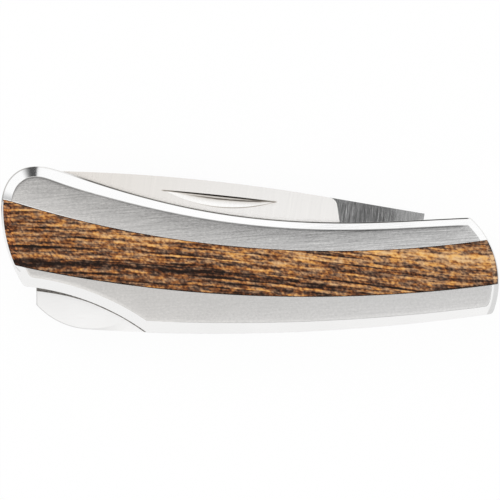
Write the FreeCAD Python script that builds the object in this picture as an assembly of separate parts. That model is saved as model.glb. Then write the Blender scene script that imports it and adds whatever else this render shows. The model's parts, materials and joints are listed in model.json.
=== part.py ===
import FreeCAD
import Part

import math
import os

# Folding lock-back pocket knife, closed and lying on its side.
# X runs from the butt to the nose, Y from the back to the blade slot, Z through the thickness.
# Sizes are in millimetres. Places in the handle are measured from two tangents: x from the butt's
# furthest point, y from the lowest point of the back.

Vector = FreeCAD.Vector

# Handle outline
handle_length = 86.0
handle_depth = 28.95  # from the back's lowest point to the crest of the hump
butt_radius = 25.0
butt_apex_height = 21.7
hump_fullness = 0.61  # how square the hump is: 0.552 is a quarter ellipse
crest_setback = 6.1
nose_radius = 14.85
nose_centre_height = 9.04
nose_top_height = 20.07
nose_corner_radius = 0.9
back_radius = 339.0
back_low_setback = 36.6  # where the back touches its tangent
butt_corner_radius = 1.2

# Points of the slot edge between the hump and the nose, and the polished bevel's width at each
shoulder = (10.3, 28.17)
slope_start = (17.2, 25.92)
slope_end = (34.5, 21.43)
waist = (25.6, 19.24)  # measured from the nose
bevel_crest = 1.62
bevel_shoulder = 2.05
bevel_slope_start = 1.95
bevel_slope_end = 1.42
bevel_waist = 1.28
bevel_nose = 1.33
bevel_back = 1.97  # at the back's lowest point
bevel_back_shift = 3.6  # the flat's lower arc is centred nearer the nose, so its bevel narrows
bevel_crescent = 1.70
bevel_butt = 1.90
bevel_depth = 1.50

# Crescent that bares the lock bar's tail
crescent_radius = 43.0
crescent_reach = 25.25  # from the butt to where the crescent leaves the back
crescent_lip_setback = 5.0
crescent_lip_height = 8.1

# Steel sides and the channel for the wood
frame_thickness = 3.6
channel_depth = 1.3
channel_top_radius = 185.0
channel_top_low = (57.5, 14.33)
channel_bottom_radius = 240.0
channel_bottom_low = (53.3, 6.40)
inlay_gap = 0.03
inlay_recess = 0.05  # the wood's face lies this far under the steel's
inlay_butt_setback = 0.15

# Blade
blade_thickness = 2.2
blade_width = 11.3
blade_tilt = 9.67  # degrees between the tang's spine and the handle when closed
open_angle = 170.0  # degrees from closed to locked open
tip_setback = 3.2
tip_drop = 6.72  # from the line of the tang's spine to the point
tip_length = 7.5
spine_straight = 22.5  # from the pivot to where the spine starts to curve
spine_radius = 312.0
belly_length = 23.0
plunge_reach = 20.0  # from the pivot to the end of the grind, at the spine
plunge_lean = 18.0  # degrees off square, towards the pivot at the edge
plunge_radius = 1.6
grind_spine_depth = 0.05
grind_edge_half = 0.15
choil_radius = 1.1
edge_half = 0.04
edge_slope = 0.31
edge_bevel_reach = 2.5

# Nail nick, cut by a wheel with a steep and a shallow flank
nick_reach = 40.1  # from the pivot to the nick's middle
nick_spine_distance = 2.9
nick_turn = 3.7  # degrees between the nick and the tang's spine
nick_length = 20.0
nick_depth = 0.55
nick_steep_slope = 5.0
nick_shallow_slope = 0.20

# Pivot and tang
pivot_setback = 9.76  # from the nose's furthest point
pivot_depth = 9.18  # from the back, straight up
tang_radius = 5.5
pivot_rivet_radius = 1.6
pivot_head_radius = 2.6
bushing_radius = 2.4
washer_radius = 4.2
washer_thickness = 0.15

# Lock bar
lock_lead = 4.49  # how far the bar reaches past the pivot
hook_width = 2.5
hook_bite = 0.95
release_travel = 0.95  # of the tail when it is pressed
rocker_setback = 43.95
rocker_depth = 3.82  # from the back, straight up
rocker_radius = 1.25
rocker_lobe = 2.9
rocker_hole_depth = 2.0
bar_inset = 0.02  # the bar's back lies this far inside the handle's
tail_setback = 5.96
tail_end_height = 4.95
tail_radius = 13.0
tail_cover = 1.5  # how far the bar goes on behind the crescent

# Butt spacer, spring and rivets
spacer_inset = 0.25
spacer_reach = 13.5
spacer_bottom = 10.9
spacer_top_butt = 20.4
spacer_top_front = 16.6
spring_thickness = 0.9
spring_height = 12.3
spring_anchor = 4.2
spring_slope = 32.0  # degrees down from the anchor
spring_bend_radius = 7.0
spring_toe_radius = 4.0
spring_toe_turn = 50.0
spring_free = 0.06  # between the toe and the bar at rest
rivet_radius = 1.1
rivet_head_radius = 1.7
rivet_head_height = 0.8
butt_rivet_low = (10.4, 15.0)
butt_rivet_high = (5.0, 17.6)
stop_radius = 1.2
stop_reach = 10.0  # from the pivot along the blade

# Clearances
side_clearance = 0.02  # between the blade and each washer
bar_side_clearance = 0.06
running_clearance = 0.04
fit_clearance = 0.04
lock_clearance = 0.06
stop_clearance = 0.04
reach_past = 4.0  # how far a cutter goes past what it cuts


# Places that follow from the sizes

gap = blade_thickness + 2 * (washer_thickness + side_clearance)
total_thickness = 2 * frame_thickness + gap
middle = total_thickness / 2
rear_inside = frame_thickness
front_inside = frame_thickness + gap


def at(x, y, z=0.0):
    """A place in the handle, in the part's own frame."""
    return Vector(x - handle_length / 2, y - handle_depth / 2, z)


def turned(point, centre, degrees):
    """The point turned about the centre in the XY plane."""
    turn = FreeCAD.Rotation(Vector(0, 0, 1), degrees)
    return centre + turn.multVec(point - centre)


def direction(vector):
    """A vector's direction in the XY plane, in degrees."""
    return math.degrees(math.atan2(vector.y, vector.x))


def circles_meet(centre_a, radius_a, centre_b, radius_b, better):
    """Where two circles cross: of the two points, the one that scores higher by better."""
    line = centre_b - centre_a
    distance = line.Length
    along = (radius_a**2 - radius_b**2 + distance**2) / (2 * distance)
    aside = math.sqrt(radius_a**2 - along**2)
    unit = line / distance
    square = Vector(-unit.y, unit.x, 0)
    foot = centre_a + unit * along
    return max((foot + square * aside, foot - square * aside), key=better)


def lifted(point, z):
    return Vector(point.x, point.y, z)


def line_edge(start, end):
    return Part.LineSegment(start, end).toShape()


def arc_edge(start, end, centre):
    """The shorter arc about a centre."""
    middle_way = (start - centre) + (end - centre)
    middle_way.normalize()
    return Part.Arc(start, centre + middle_way * (start - centre).Length, end).toShape()


def tangent_arc(start, tangent, end):
    """An arc that leaves start along tangent and ends at end."""
    chord = end - start
    normal = Vector(-tangent.y, tangent.x, 0)
    centre = start + normal * (chord.dot(chord) / (2 * chord.dot(normal)))
    return arc_edge(start, end, centre)


def prism(edges, low, high):
    """A solid with these edges as its outline, from one height to another."""
    face = Part.Face(Part.Wire(edges))
    face.translate(Vector(0, 0, low - face.BoundBox.ZMin))
    return face.extrude(Vector(0, 0, high - low))


def polygon(points):
    return [line_edge(a, b) for a, b in zip(points, points[1:] + points[:1])]


def cylinder(centre, radius, low, high):
    return Part.makeCylinder(radius, high - low, lifted(centre, low))


back_centre = at(back_low_setback, back_radius)
nose_centre = at(handle_length - nose_radius, nose_centre_height)
butt_centre = at(butt_radius, butt_apex_height)


def back_point(x, inset=0.0):
    """A place on the back, at a distance x from the butt."""
    across = at(x, 0).x - back_centre.x
    return Vector(at(x, 0).x, back_centre.y - math.sqrt((back_radius - inset) ** 2 - across**2), 0)


crescent_centre = circles_meet(
    back_point(crescent_reach),
    crescent_radius,
    at(crescent_lip_setback, crescent_lip_height),
    crescent_radius,
    better=lambda p: -p.y,
)


def handle_outline(z, bevelled):
    """The edges of one side's outline, in order: its wall, or its flat face inside the bevels."""
    share = 1.0 if bevelled else 0.0
    nose = nose_radius - share * bevel_nose
    back = back_radius - share * bevel_back
    back_middle = back_centre + Vector(share * bevel_back_shift, 0, 0)
    crescent = crescent_radius + share * bevel_crescent
    butt = butt_radius - share * bevel_butt
    crest = at(crest_setback, handle_depth - share * bevel_crest)
    apex = at(share * bevel_butt, butt_apex_height)

    nose_corner = Vector(0, at(0, nose_top_height).y, 0)
    nose_corner.x = nose_centre.x + math.sqrt(nose_radius**2 - (nose_corner.y - nose_centre.y) ** 2)
    waist_point = at(handle_length - waist[0], waist[1])
    stations = [
        (at(crest_setback, handle_depth), bevel_crest),
        (at(*shoulder), bevel_shoulder),
        (at(*slope_start), bevel_slope_start),
        (at(*slope_end), bevel_slope_end),
        (waist_point, bevel_waist),
        (nose_corner, bevel_waist),
    ]
    edge = Part.BSplineCurve()
    edge.interpolate([p for p, width in stations], InitialTangent=Vector(1, 0, 0),
                     FinalTangent=nose_corner - waist_point)
    if bevelled:
        inner = []
        for point, width in stations:
            along = edge.tangent(edge.parameter(point))[0]
            inner.append(point + Vector(along.y, -along.x, 0) * width)
        along = edge.tangent(edge.LastParameter)[0]
        inner[-1] = line_meets_circle(inner[-1], along, nose_centre, nose)
        nose_corner = inner[-1]
        inner[0] = crest
        edge = Part.BSplineCurve()
        edge.interpolate(inner, InitialTangent=Vector(1, 0, 0), FinalTangent=along)

    nose_round = circles_meet(nose_centre, nose - nose_corner_radius, back_middle,
                              back - nose_corner_radius, better=lambda p: p.x)
    nose_round_start = nose_centre + (nose_round - nose_centre).normalize() * nose
    nose_round_end = back_middle + (nose_round - back_middle).normalize() * back
    crescent_start = circles_meet(back_middle, back, crescent_centre, crescent, better=lambda p: p.x)
    butt_round = circles_meet(butt_centre, butt - butt_corner_radius, crescent_centre,
                              crescent + butt_corner_radius, better=lambda p: -p.x)
    butt_round_start = crescent_centre + (butt_round - crescent_centre).normalize() * crescent
    butt_round_end = butt_centre + (butt_round - butt_centre).normalize() * butt

    rise = Vector(0, crest.y - apex.y, 0)
    reach = Vector(crest.x - apex.x, 0, 0)
    hump = Part.BezierCurve()
    hump.setPoles([apex, apex + rise * hump_fullness, crest - reach * hump_fullness, crest])
    edges = [
        edge.toShape(),
        arc_edge(nose_corner, nose_round_start, nose_centre),
        arc_edge(nose_round_start, nose_round_end, nose_round),
        arc_edge(nose_round_end, crescent_start, back_middle),
        arc_edge(crescent_start, butt_round_start, crescent_centre),
        arc_edge(butt_round_start, butt_round_end, butt_round),
        arc_edge(butt_round_end, apex, butt_centre),
        hump.toShape(),
    ]
    outline = Part.Wire(edges)
    outline.translate(Vector(0, 0, z))
    return outline


def line_meets_circle(start, along, centre, radius):
    """Where a line that leaves start first crosses a circle, ahead or behind."""
    toward = start - centre
    half = toward.dot(along)
    root = math.sqrt(half**2 - toward.dot(toward) + radius**2)
    return start + along * min((root - half, -root - half), key=abs)


# Steel sides and wood

def side_blank(face_height, inside_height):
    """One side before its channel is cut: a wall with a bevelled outer face."""
    step = math.copysign(bevel_depth, inside_height - face_height)
    bevel_height = face_height + step
    wall = Part.Face(handle_outline(bevel_height, bevelled=False))
    wall = wall.extrude(Vector(0, 0, inside_height - bevel_height))
    bevel = Part.makeLoft(
        [handle_outline(face_height, bevelled=True), handle_outline(bevel_height, bevelled=False)],
        True, True)
    return wall.fuse(bevel).removeSplitter()


def channel(face_height, floor_height, gap_all_round):
    """The band that the wood fills, between two arcs, running out past both ends."""
    top_centre = at(channel_top_low[0], channel_top_low[1] + channel_top_radius)
    bottom_centre = at(channel_bottom_low[0], channel_bottom_low[1] + channel_bottom_radius)
    top_radius = channel_top_radius + gap_all_round
    bottom_radius = channel_bottom_radius - gap_all_round
    left = at(-reach_past, 0).x
    right = at(handle_length + reach_past, 0).x

    def on_arc(x, centre, radius):
        return Vector(x, centre.y - math.sqrt(radius**2 - (x - centre.x) ** 2), 0)

    corners = [on_arc(left, bottom_centre, bottom_radius), on_arc(right, bottom_centre, bottom_radius),
               on_arc(right, top_centre, top_radius), on_arc(left, top_centre, top_radius)]
    edges = [
        arc_edge(corners[0], corners[1], bottom_centre),
        line_edge(corners[1], corners[2]),
        arc_edge(corners[2], corners[3], top_centre),
        line_edge(corners[3], corners[0]),
    ]
    return prism(edges, min(face_height, floor_height), max(face_height, floor_height))


rear_floor = channel_depth
front_floor = total_thickness - channel_depth


def frame_side(face_height, inside_height, floor_height, holes):
    """A steel side with its channel and its rivet and pin holes."""
    outward = math.copysign(reach_past, face_height - floor_height)
    side = side_blank(face_height, inside_height)
    side = side.cut(channel(face_height + outward, floor_height, 0.0))
    for hole in holes:
        side = side.cut(hole)
    return side


def inlay(face_height, inside_height, floor_height):
    """The wood in a side's channel, bevelled with the steel at both ends."""
    top = face_height + math.copysign(inlay_recess, floor_height - face_height)
    wood = channel(top, floor_height, inlay_gap)
    blank = side_blank(face_height, inside_height)
    set_back = blank.copy()
    set_back.translate(Vector(inlay_butt_setback, 0, 0))
    return wood.common(blank).common(set_back)


# Rivets, bushing, washers and pins

def rivet(centre, radius, head_radius, grow=0.0):
    """A rivet with countersunk heads just under both channel floors; grown, the hole it sits in."""
    low = rear_floor + fit_clearance
    high = front_floor - fit_clearance
    body = cylinder(centre, radius + grow, low, high)
    for end, way in ((low, 1), (high, -1)):
        head = Part.makeCone(head_radius + grow, radius + grow, rivet_head_height,
                             lifted(centre, end), Vector(0, 0, way))
        body = body.fuse(head)
    if grow:
        for floor, end in ((rear_floor, low), (high, front_floor)):
            body = body.fuse(cylinder(centre, head_radius + grow, floor, end))
    return body.removeSplitter()


def ring(centre, outer, inner, low, high):
    return cylinder(centre, outer, low, high).cut(
        cylinder(centre, inner, low - reach_past, high + reach_past))


pivot = back_point(handle_length - pivot_setback) + Vector(0, pivot_depth, 0)
rocker = back_point(rocker_setback) + Vector(0, rocker_depth, 0)


# Blade, laid out along its own spine: a runs from the pivot to the point, b from the pivot to the spine

blade_along = turned(Vector(-1, 0, 0), Vector(), -blade_tilt)
blade_up = Vector(-blade_along.y, blade_along.x, 0) * -1
lock_corner = back_point(handle_length - pivot_setback + lock_lead)
spine_corner = turned(lock_corner, pivot, open_angle)
spine_lead = (spine_corner - pivot).dot(blade_along)
spine_height = (spine_corner - pivot).dot(blade_up)
edge_height = spine_height - blade_width
tip_height = spine_height - tip_drop
tip_reach = (at(tip_setback, 0).x - pivot.x - tip_height * blade_up.x) / blade_along.x
lean = math.radians(plunge_lean)
plunge_end = plunge_reach - blade_width * math.tan(lean)
grind_slope = (blade_thickness / 2 - grind_spine_depth - grind_edge_half) / blade_width


def on_blade(a, b, z=0.0):
    return lifted(pivot + blade_along * a + blade_up * b, z)


def grind_half(b):
    """Half the blade's thickness on its ground face, at a height b."""
    return blade_thickness / 2 - grind_spine_depth - (spine_height - b) * grind_slope


def blade_outline():
    drop_start = tip_reach - tip_length
    spine_centre_b = spine_height - spine_radius
    drop_b = spine_centre_b + math.sqrt(spine_radius**2 - (drop_start - spine_straight) ** 2)
    drop_point = on_blade(drop_start, drop_b)
    spine_centre = on_blade(spine_straight, spine_centre_b)
    outward = (drop_point - spine_centre).normalize()
    drop_way = Vector(-outward.y, outward.x, 0)
    tip = on_blade(tip_reach, tip_height)
    belly_start = on_blade(tip_reach - belly_length, edge_height)
    choil_front = on_blade(plunge_end + choil_radius, edge_height)
    choil_back = on_blade(plunge_end - choil_radius, edge_height)
    choil_top = on_blade(plunge_end, edge_height + choil_radius)
    heel = on_blade(math.sqrt(tang_radius**2 - edge_height**2), edge_height)
    return [
        line_edge(on_blade(spine_lead, spine_height), on_blade(spine_straight, spine_height)),
        arc_edge(on_blade(spine_straight, spine_height), drop_point, spine_centre),
        tangent_arc(drop_point, drop_way, tip),
        arc_edge(tip, belly_start, belly_circle()[0]),
        line_edge(belly_start, choil_front),
        Part.Arc(choil_front, choil_top, choil_back).toShape(),
        line_edge(choil_back, heel),
        line_edge(heel, pivot),
        line_edge(pivot, on_blade(0, tang_radius)),
        line_edge(on_blade(0, tang_radius), on_blade(spine_lead, tang_radius)),
        line_edge(on_blade(spine_lead, tang_radius), on_blade(spine_lead, spine_height)),
    ]


def belly_circle():
    """The belly's centre and radius: it leaves the straight edge and ends at the point."""
    run = belly_length
    rise = tip_height - edge_height
    radius = (run**2 + rise**2) / (2 * rise)
    return on_blade(tip_reach - belly_length, edge_height + radius), radius


def grind_cutter(side):
    """What the grinding belt takes off one face, up to a plunge line with a rounded corner."""
    high = spine_height + reach_past
    low = edge_height - reach_past
    far = tip_reach + reach_past
    outside = blade_thickness / 2 + reach_past
    corners = [(high, grind_half(high)), (low, grind_half(low)), (low, outside), (high, outside)]
    face = Part.Face(Part.Wire(polygon([on_blade(0, b, middle + side * z) for b, z in corners])))
    wedge = face.extrude(blade_along * far)
    round_a = plunge_reach + plunge_radius * (1 - math.sin(lean)) / math.cos(lean)
    round_centre = on_blade(round_a, spine_height - plunge_radius)
    round_start = on_blade(round_a - plunge_radius * math.cos(lean),
                           spine_height - plunge_radius * (1 - math.sin(lean)))
    round_end = on_blade(round_a, spine_height)
    foot = on_blade(plunge_reach - (spine_height - low) * math.tan(lean), low)
    plan = [
        line_edge(foot, round_start),
        arc_edge(round_start, round_end, round_centre),
        line_edge(round_end, on_blade(round_a, high)),
        line_edge(on_blade(round_a, high), on_blade(far, high)),
        line_edge(on_blade(far, high), on_blade(far, low)),
        line_edge(on_blade(far, low), foot),
    ]
    return wedge.common(prism(plan, middle - outside, middle + outside))


def edge_cutter(side):
    """What the hone takes off one face, along the straight edge and the belly."""
    centre, radius = belly_circle()
    past_tip = turned(on_blade(tip_reach, tip_height), centre, math.degrees(reach_past / radius))
    spoke = (past_tip - centre).normalize()
    low = edge_height - 2 * reach_past
    far = (past_tip - pivot).dot(blade_along) + reach_past

    def ring_at(inset):
        z = middle + side * (edge_half + edge_slope * inset)
        end = centre + spoke * (radius - inset)
        start = on_blade(plunge_end, edge_height + inset)
        turn = on_blade(tip_reach - belly_length, edge_height + inset)
        edges = [
            line_edge(start, turn),
            arc_edge(turn, end, centre),
            line_edge(end, on_blade(far, tip_height)),
            line_edge(on_blade(far, tip_height), on_blade(far, low)),
            line_edge(on_blade(far, low), on_blade(plunge_end, low)),
            line_edge(on_blade(plunge_end, low), start),
        ]
        wire = Part.Wire(edges)
        wire.translate(Vector(0, 0, z))
        return wire

    outside = -edge_half / edge_slope / 2
    return Part.makeLoft([ring_at(outside), ring_at(edge_bevel_reach)], True, True)


def nick_cutter():
    """The wheel that cuts the nail nick: two cones back to back, dipping into the front face."""
    way = turned(blade_up, Vector(), nick_turn)
    middle_b = spine_height - nick_spine_distance
    wheel_radius = (nick_length**2 / 4 + nick_depth**2) / (2 * nick_depth)
    face = middle + grind_half(middle_b)
    hub = on_blade(nick_reach, middle_b, face - nick_depth + wheel_radius)
    steep_run = 2 * nick_depth / nick_steep_slope
    shallow_run = 2 * nick_depth / nick_shallow_slope
    steep = Part.makeCone(wheel_radius, wheel_radius - 2 * nick_depth, steep_run, hub, way)
    shallow = Part.makeCone(wheel_radius, wheel_radius - 2 * nick_depth, shallow_run, hub, way * -1)
    return steep.fuse(shallow)


# Lock bar, laid out with its hook dropped home and then raised to where the hook clears the tang

hook_front = lock_corner.x - lock_clearance
hook_back = hook_front - hook_width
ride_radius = tang_radius + running_clearance
hook_drop = math.sqrt(ride_radius**2 - (hook_back - pivot.x) ** 2) - hook_bite
hook_home = Vector(hook_back, pivot.y - hook_drop, 0)
hook_raised = circles_meet(rocker, (hook_home - rocker).Length, pivot, ride_radius, better=lambda p: -p.y)
drop_angle = direction(hook_home - rocker) - direction(hook_raised - rocker)
press_angle = math.degrees(release_travel / (rocker.x - at(tail_setback, 0).x))
bar_low = rear_inside + bar_side_clearance
bar_high = front_inside - bar_side_clearance
bar_inner = pivot.y - tang_radius - hook_bite - lock_clearance


def hook(grow, low, high):
    """The hook in its home position, grown by a clearance on the three faces that meet the tang."""
    bottom = lock_corner.y - reach_past
    top = hook_home.y + grow
    return prism(polygon([
        Vector(hook_back - grow, bottom, 0),
        Vector(hook_front + grow, bottom, 0),
        Vector(hook_front + grow, top, 0),
        Vector(hook_back - grow, top, 0),
    ]), low, high)


def lock_bar():
    outer = back_radius - bar_inset
    front = at(handle_length + reach_past, 0).x
    front_out = back_point(handle_length + reach_past, bar_inset)
    tail_end = at(tail_setback, tail_end_height)
    tail_centre = circles_meet(back_centre, outer - tail_radius, tail_end, tail_radius,
                               better=lambda p: p.x)
    tail_start = back_centre + (tail_centre - back_centre).normalize() * outer
    cover = crescent_radius + tail_cover
    tail_top = Vector(tail_end.x, 0, 0)
    tail_top.y = crescent_centre.y + math.sqrt(cover**2 - (tail_end.x - crescent_centre.x) ** 2)
    waist = Vector(0, bar_inner, 0)
    waist.x = crescent_centre.x + math.sqrt(cover**2 - (bar_inner - crescent_centre.y) ** 2)
    band = prism([
        arc_edge(front_out, tail_start, back_centre),
        arc_edge(tail_start, tail_end, tail_centre),
        line_edge(tail_end, tail_top),
        arc_edge(tail_top, waist, crescent_centre),
        line_edge(waist, Vector(front, bar_inner, 0)),
        line_edge(Vector(front, bar_inner, 0), front_out),
    ], bar_low, bar_high)
    bar = band.fuse(cylinder(rocker, rocker_lobe, bar_low, bar_high))
    tooth = hook(0.0, bar_low, bar_high)
    tooth.rotate(rocker, Vector(0, 0, 1), -drop_angle)
    tooth = tooth.common(prism(back_disc(outer), bar_low, bar_high))
    # The front face is round about the rocker pin, so it keeps its clearance as the bar rocks.
    ahead = prism(polygon([
        Vector(hook_back, lock_corner.y - 2 * reach_past, 0),
        Vector(front + 2 * reach_past, lock_corner.y - 2 * reach_past, 0),
        Vector(front + 2 * reach_past, pivot.y, 0),
        Vector(hook_back, pivot.y, 0),
    ]), bar_low - reach_past, bar_high + reach_past)
    ahead = ahead.cut(cylinder(rocker, hook_front - rocker.x, bar_low - reach_past, bar_high + reach_past))
    bar = bar.fuse(tooth).cut(ahead)
    bore = cylinder(rocker, rocker_radius + running_clearance, bar_low - reach_past, bar_high + reach_past)
    return bar.cut(bore).removeSplitter()


def back_disc(radius):
    """Everything on the handle's side of the back, as one round outline."""
    return [Part.Circle(back_centre, Vector(0, 0, 1), radius).toShape()]


def blade():
    low = middle - blade_thickness / 2
    high = middle + blade_thickness / 2
    body = prism(blade_outline(), low, high).fuse(cylinder(pivot, tang_radius, low, high))
    closed_seat = hook(lock_clearance, low - reach_past, high + reach_past)
    open_notch = closed_seat.copy()
    open_notch.rotate(pivot, Vector(0, 0, 1), open_angle)
    bore = cylinder(pivot, bushing_radius + running_clearance, low - reach_past, high + reach_past)
    cutters = [closed_seat, open_notch, bore, nick_cutter()]
    for side in (1, -1):
        cutters += [grind_cutter(side), edge_cutter(side)]
    for cutter in cutters:
        body = body.cut(cutter)
    return body.removeSplitter()


# Spacer and spring

def butt_spacer():
    """The block that holds the two sides apart at the butt and grips the spring."""
    radius = butt_radius - spacer_inset

    def on_butt(height):
        y = at(0, height).y
        return Vector(butt_centre.x - math.sqrt(radius**2 - (y - butt_centre.y) ** 2), y, 0)

    corners = [on_butt(spacer_top_butt), on_butt(spacer_bottom),
               at(spacer_reach, spacer_bottom), at(spacer_reach, spacer_top_front)]
    block = prism([
        arc_edge(corners[0], corners[1], butt_centre),
        line_edge(corners[1], corners[2]),
        line_edge(corners[2], corners[3]),
        line_edge(corners[3], corners[0]),
    ], rear_inside, front_inside)
    half = spring_thickness / 2 + fit_clearance
    slot = prism(polygon([
        at(spacer_reach - spring_anchor - fit_clearance, spring_height - half),
        at(spacer_reach + reach_past, spring_height - half),
        at(spacer_reach + reach_past, spring_height + half),
        at(spacer_reach - spring_anchor - fit_clearance, spring_height + half),
    ]), rear_inside - reach_past, front_inside + reach_past)
    block = block.cut(slot)
    for place in (butt_rivet_low, butt_rivet_high):
        block = block.cut(cylinder(at(*place), rivet_radius + fit_clearance,
                                   rear_inside - reach_past, front_inside + reach_past))
    return block


def spring_path():
    """The spring's middle line: a straight anchor, a bend, a slope down and a toe curled up."""
    anchor = at(spacer_reach - spring_anchor, spring_height)
    bend_start = at(spacer_reach + spring_thickness, spring_height)
    bend_centre = bend_start - Vector(0, spring_bend_radius, 0)
    bend_end = turned(bend_start, bend_centre, -spring_slope)
    slope_way = turned(Vector(1, 0, 0), Vector(), -spring_slope)
    toe_low = bar_inner + spring_free + spring_thickness / 2
    toe_drop = spring_toe_radius * (1 - math.cos(math.radians(spring_slope)))
    run = (bend_end.y - toe_low - toe_drop) / math.sin(math.radians(spring_slope))
    toe_start = bend_end + slope_way * run
    toe_centre = toe_start + Vector(-slope_way.y, slope_way.x, 0) * spring_toe_radius
    toe_end = turned(toe_start, toe_centre, spring_toe_turn)
    return [
        line_edge(anchor, bend_start),
        arc_edge(bend_start, bend_end, bend_centre),
        line_edge(bend_end, toe_start),
        arc_edge(toe_start, toe_end, toe_centre),
    ]


def lock_spring():
    middle_line = Part.Wire(spring_path())
    half = spring_thickness / 2
    lower = middle_line.makeOffset2D(half, 0, False, True)
    upper = middle_line.makeOffset2D(-half, 0, False, True)
    ends = []
    for end in (0, -1):
        ends.append(line_edge(lower.OrderedVertexes[end].Point, upper.OrderedVertexes[end].Point))
    edges = lower.Edges + upper.Edges + ends
    outline = Part.Wire(Part.__sortEdges__(edges))
    return prism(outline.Edges, bar_low, bar_high)


# Build every piece and write it

stop_pin_place = on_blade(stop_reach, edge_height - stop_clearance - stop_radius)


def build():
    rivets = [
        (pivot, pivot_rivet_radius, pivot_head_radius),
        (stop_pin_place, stop_radius, rivet_head_radius),
        (at(*butt_rivet_low), rivet_radius, rivet_head_radius),
        (at(*butt_rivet_high), rivet_radius, rivet_head_radius),
    ]
    holes = [rivet(*r, grow=fit_clearance) for r in rivets]
    holes.append(cylinder(rocker, rocker_radius + fit_clearance,
                          rear_inside - rocker_hole_depth, front_inside + rocker_hole_depth))
    bushing_bore = pivot_rivet_radius + fit_clearance
    washer_bore = bushing_radius + running_clearance
    pieces = {
        "rear_frame": frame_side(0.0, rear_inside, rear_floor, holes),
        "front_frame": frame_side(total_thickness, front_inside, front_floor, holes),
        "rear_inlay": inlay(0.0, rear_inside, rear_floor),
        "front_inlay": inlay(total_thickness, front_inside, front_floor),
        "blade": blade(),
        "lock_bar": lock_bar(),
        "lock_spring": lock_spring(),
        "butt_spacer": butt_spacer(),
        "pivot_rivet": rivet(*rivets[0]),
        "stop_rivet": rivet(*rivets[1]),
        "butt_rivet_low": rivet(*rivets[2]),
        "butt_rivet_high": rivet(*rivets[3]),
        "pivot_bushing": ring(pivot, bushing_radius, bushing_bore, rear_inside, front_inside),
        "rear_washer": ring(pivot, washer_radius, washer_bore, rear_inside, rear_inside + washer_thickness),
        "front_washer": ring(pivot, washer_radius, washer_bore,
                             front_inside - washer_thickness, front_inside),
        "rocker_pin": cylinder(rocker, rocker_radius, rear_inside - rocker_hole_depth + fit_clearance,
                               front_inside + rocker_hole_depth - fit_clearance),
    }
    os.makedirs("parts", exist_ok=True)
    for name, shape in pieces.items():
        solids = shape.Solids
        shape = solids[0] if len(solids) == 1 else Part.makeCompound(solids)
        shape.exportStep(f"parts/{name}.step")
        box = shape.BoundBox
        print(f"{name}: {len(solids)} solid, valid {shape.isValid()}, {shape.Volume:.1f} mm3, "
              f"{box.XLength:.1f} x {box.YLength:.1f} x {box.ZLength:.1f} mm")
    print("pivot", [round(c, 3) for c in pivot], "rocker", [round(c, 3) for c in rocker])
    print(f"lock bar drops {drop_angle:.3f} and is pressed {press_angle:.3f} degrees")
    print(f"exposed blade when open {tip_reach - pivot_setback:.1f} mm")


build()
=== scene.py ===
# %% [markdown]
# # A closed lock-back pocket knife
# This lesson dresses a packed CAD model: a folding knife with steel sides, a wood band let into each
# side, a ground blade and a lock bar. The CAD parts hold the true sizes and the joints. Here they get
# their finishes, a soft studio and a camera.

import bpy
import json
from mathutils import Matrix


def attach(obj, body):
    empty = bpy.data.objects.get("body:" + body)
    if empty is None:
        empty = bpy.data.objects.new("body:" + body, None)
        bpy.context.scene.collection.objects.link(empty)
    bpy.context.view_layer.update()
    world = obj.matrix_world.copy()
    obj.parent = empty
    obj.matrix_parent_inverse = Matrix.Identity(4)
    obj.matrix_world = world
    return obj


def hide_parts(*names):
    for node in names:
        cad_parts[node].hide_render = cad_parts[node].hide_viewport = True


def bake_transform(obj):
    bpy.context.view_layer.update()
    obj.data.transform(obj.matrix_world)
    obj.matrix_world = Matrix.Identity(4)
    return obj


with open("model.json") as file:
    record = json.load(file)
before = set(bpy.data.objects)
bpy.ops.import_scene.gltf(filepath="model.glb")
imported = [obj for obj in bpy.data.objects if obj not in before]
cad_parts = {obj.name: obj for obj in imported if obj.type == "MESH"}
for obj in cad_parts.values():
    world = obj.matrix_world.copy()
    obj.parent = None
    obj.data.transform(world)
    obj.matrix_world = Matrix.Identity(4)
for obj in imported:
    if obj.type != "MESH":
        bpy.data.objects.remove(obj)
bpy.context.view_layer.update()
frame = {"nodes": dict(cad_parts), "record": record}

import json
import math

import bmesh
import bpy
import numpy as np
from mathutils import Vector

MM = 0.001
HALF_LENGTH = 43.0
HALF_DEPTH = 14.475
THICKNESS = 9.74
print("nodes:", sorted(frame["nodes"]))

# %% [markdown]
# ## The outline of a side
# A steel side is drawn with eight edges: the long slot edge, the nose, its small round, the back, the
# crescent that bares the lock bar's tail, the butt's small round, the butt and the hump. Six of them
# are arcs, as on a workshop's drawing. A traced curve would fit as well, but arcs stay smooth at any
# fineness.

# %% Circles and arcs
def unit(vector):
    """A vector over its own length."""
    return vector / np.linalg.norm(vector, axis=-1, keepdims=True)


def meet(centre_a, radius_a, centre_b, radius_b, side):
    """Where two circles cross, on the left (side 1) or right (side -1) of the line between centres."""
    centre_a, centre_b = np.array(centre_a, float), np.array(centre_b, float)
    apart = np.linalg.norm(centre_b - centre_a)
    way = (centre_b - centre_a) / apart
    reach = (apart**2 + radius_a**2 - radius_b**2) / (2 * apart)
    rise = math.sqrt(radius_a**2 - reach**2)
    return centre_a + way * reach + side * rise * np.array([-way[1], way[0]])


def arc(start, end, centre):
    """A run along a circle: centre plus radius times (cos, sin) of an angle that goes with the share."""
    first = math.atan2(*(start - centre)[::-1])
    turn = (math.atan2(*(end - centre)[::-1]) - first + math.pi) % (2 * math.pi) - math.pi
    radius = np.linalg.norm(start - centre)

    def run(share):
        angle = first + turn * share
        return centre + radius * np.stack([np.cos(angle), np.sin(angle)], axis=1)
    return run


print("two circles of radius 5, 6 apart, meet at", meet((0, 0), 5, (6, 0), 5, 1))

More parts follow.
